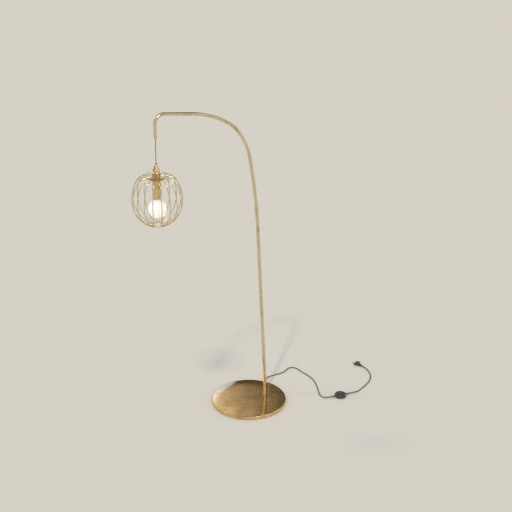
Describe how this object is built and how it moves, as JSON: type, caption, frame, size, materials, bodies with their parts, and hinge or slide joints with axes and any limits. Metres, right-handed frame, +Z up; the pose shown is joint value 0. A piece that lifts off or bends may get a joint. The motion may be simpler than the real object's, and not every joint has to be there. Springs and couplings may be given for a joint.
{
  "type": "floor lamp",
  "caption": "Arched floor lamp with a round weighted base and a wire cage pendant round a globe bulb, with a floor cord, foot switch and plug.",
  "frame": {"origin": "centre of the round base at floor level", "axes": "+Z up, the arm reaches towards -X in the plane y = 0, the mains cord lies on the +X side"},
  "size_m": [1.3094, 0.4946, 1.5905],
  "materials": {
    "satin_brass": "satin brass-plated steel tube, lightly aged",
    "base_brass": "brass-finished spun steel with brown ageing",
    "cage_brass": "brass-plated steel wire",
    "dark_fitting": "darker brass fitting",
    "cast_weight": "rough cast, painted",
    "pad": "matt felt-backed rubber",
    "plated_steel": "zinc plated",
    "porcelain": "glazed porcelain",
    "contact_metal": "bright brass contact",
    "cap_metal": "bright aluminium screw cap",
    "opal_glass": "opal glass, lit",
    "light_core": "white diffuser, lit",
    "dark_glass": "dark glass insulator",
    "black_cord": "black round flex",
    "flex": "brown flex",
    "black_plastic": "moulded black plastic",
    "pin_metal": "nickel-plated brass pins"
  },
  "bodies": {
    "stand": {"floor_pad": "pad", "base_weight": "cast_weight", "base_cover": "base_brass", "base_washer": "plated_steel", "base_nut": "plated_steel", "base_pipe": "plated_steel", "stem_insert": "plated_steel", "base_cord_relief": "black_plastic", "stem_lower": "satin_brass", "stem_arch": "satin_brass", "stem_coupling": "plated_steel", "stem_cord": "black_cord", "arm_splice": "black_plastic", "arm_end_plug": "dark_fitting", "grub_screw": "plated_steel", "flex_tail": "flex", "switch_base": "black_plastic", "switch_cover": "black_plastic", "switch_spring": "plated_steel", "switch_contacts": "contact_metal", "switch_screws": "plated_steel", "switch_reliefs": "black_plastic", "plug_body": "black_plastic", "plug_relief": "black_plastic", "plug_pins": "pin_metal", "pin_sleeves": "black_plastic", "floor_cord": "black_cord", "plug_cord": "black_cord"},
    "swivel": {"swivel_ball": "contact_metal"},
    "flex": {"pendant_flex": "flex"},
    "head": {"cord_grip": "dark_fitting", "grip_nut": "dark_fitting", "pendant_cap": "satin_brass", "clamp_collar": "dark_fitting", "lampholder_cover": "satin_brass", "holder_pipe": "plated_steel", "holder_lead": "flex", "holder_insulator": "porcelain", "screw_shell": "contact_metal", "centre_contact": "contact_metal", "terminals": "contact_metal", "terminal_screws": "plated_steel", "cage_plate": "cage_brass", "cage_top_ring": "cage_brass", "cage_wires": "cage_brass", "cage_bottom_ring": "cage_brass"},
    "bulb": {"bulb_glass": "opal_glass", "bulb_cap": "cap_metal", "bulb_insulator": "dark_glass", "bulb_tip": "cap_metal", "bulb_core": "light_core"},
    "button": {"switch_button": "black_plastic", "contact_bridge": "contact_metal"}
  },
  "joints": [
    {"name": "sway_across", "type": "hinge", "parent": "stand", "child": "swivel", "pos_m": [-0.55117, 0, 1.4875], "axis": [1, 0, 0], "range_deg": [-25, 25]},
    {"name": "sway_along", "type": "hinge", "parent": "swivel", "child": "flex", "pos_m": [-0.55117, 0, 1.4875], "axis": [0, 1, 0], "range_deg": [-25, 25]},
    {"name": "head_twist", "type": "hinge", "parent": "flex", "child": "head", "pos_m": [-0.55117, 0, 1.3885], "axis": [0, 0, 1], "range_deg": [-90, 90]},
    {"name": "bulb_release", "type": "slide", "parent": "head", "child": "bulb", "axis": [0, 0, -1], "range_m": [0, 0.024]},
    {"name": "switch_press", "type": "slide", "parent": "stand", "child": "button", "axis": [0, 0, -1], "range_m": [0, 0.0025], "stiffness_N_per_m": 600, "springref_m": -0.001, "deforming": ["switch_spring"]}
  ]
}
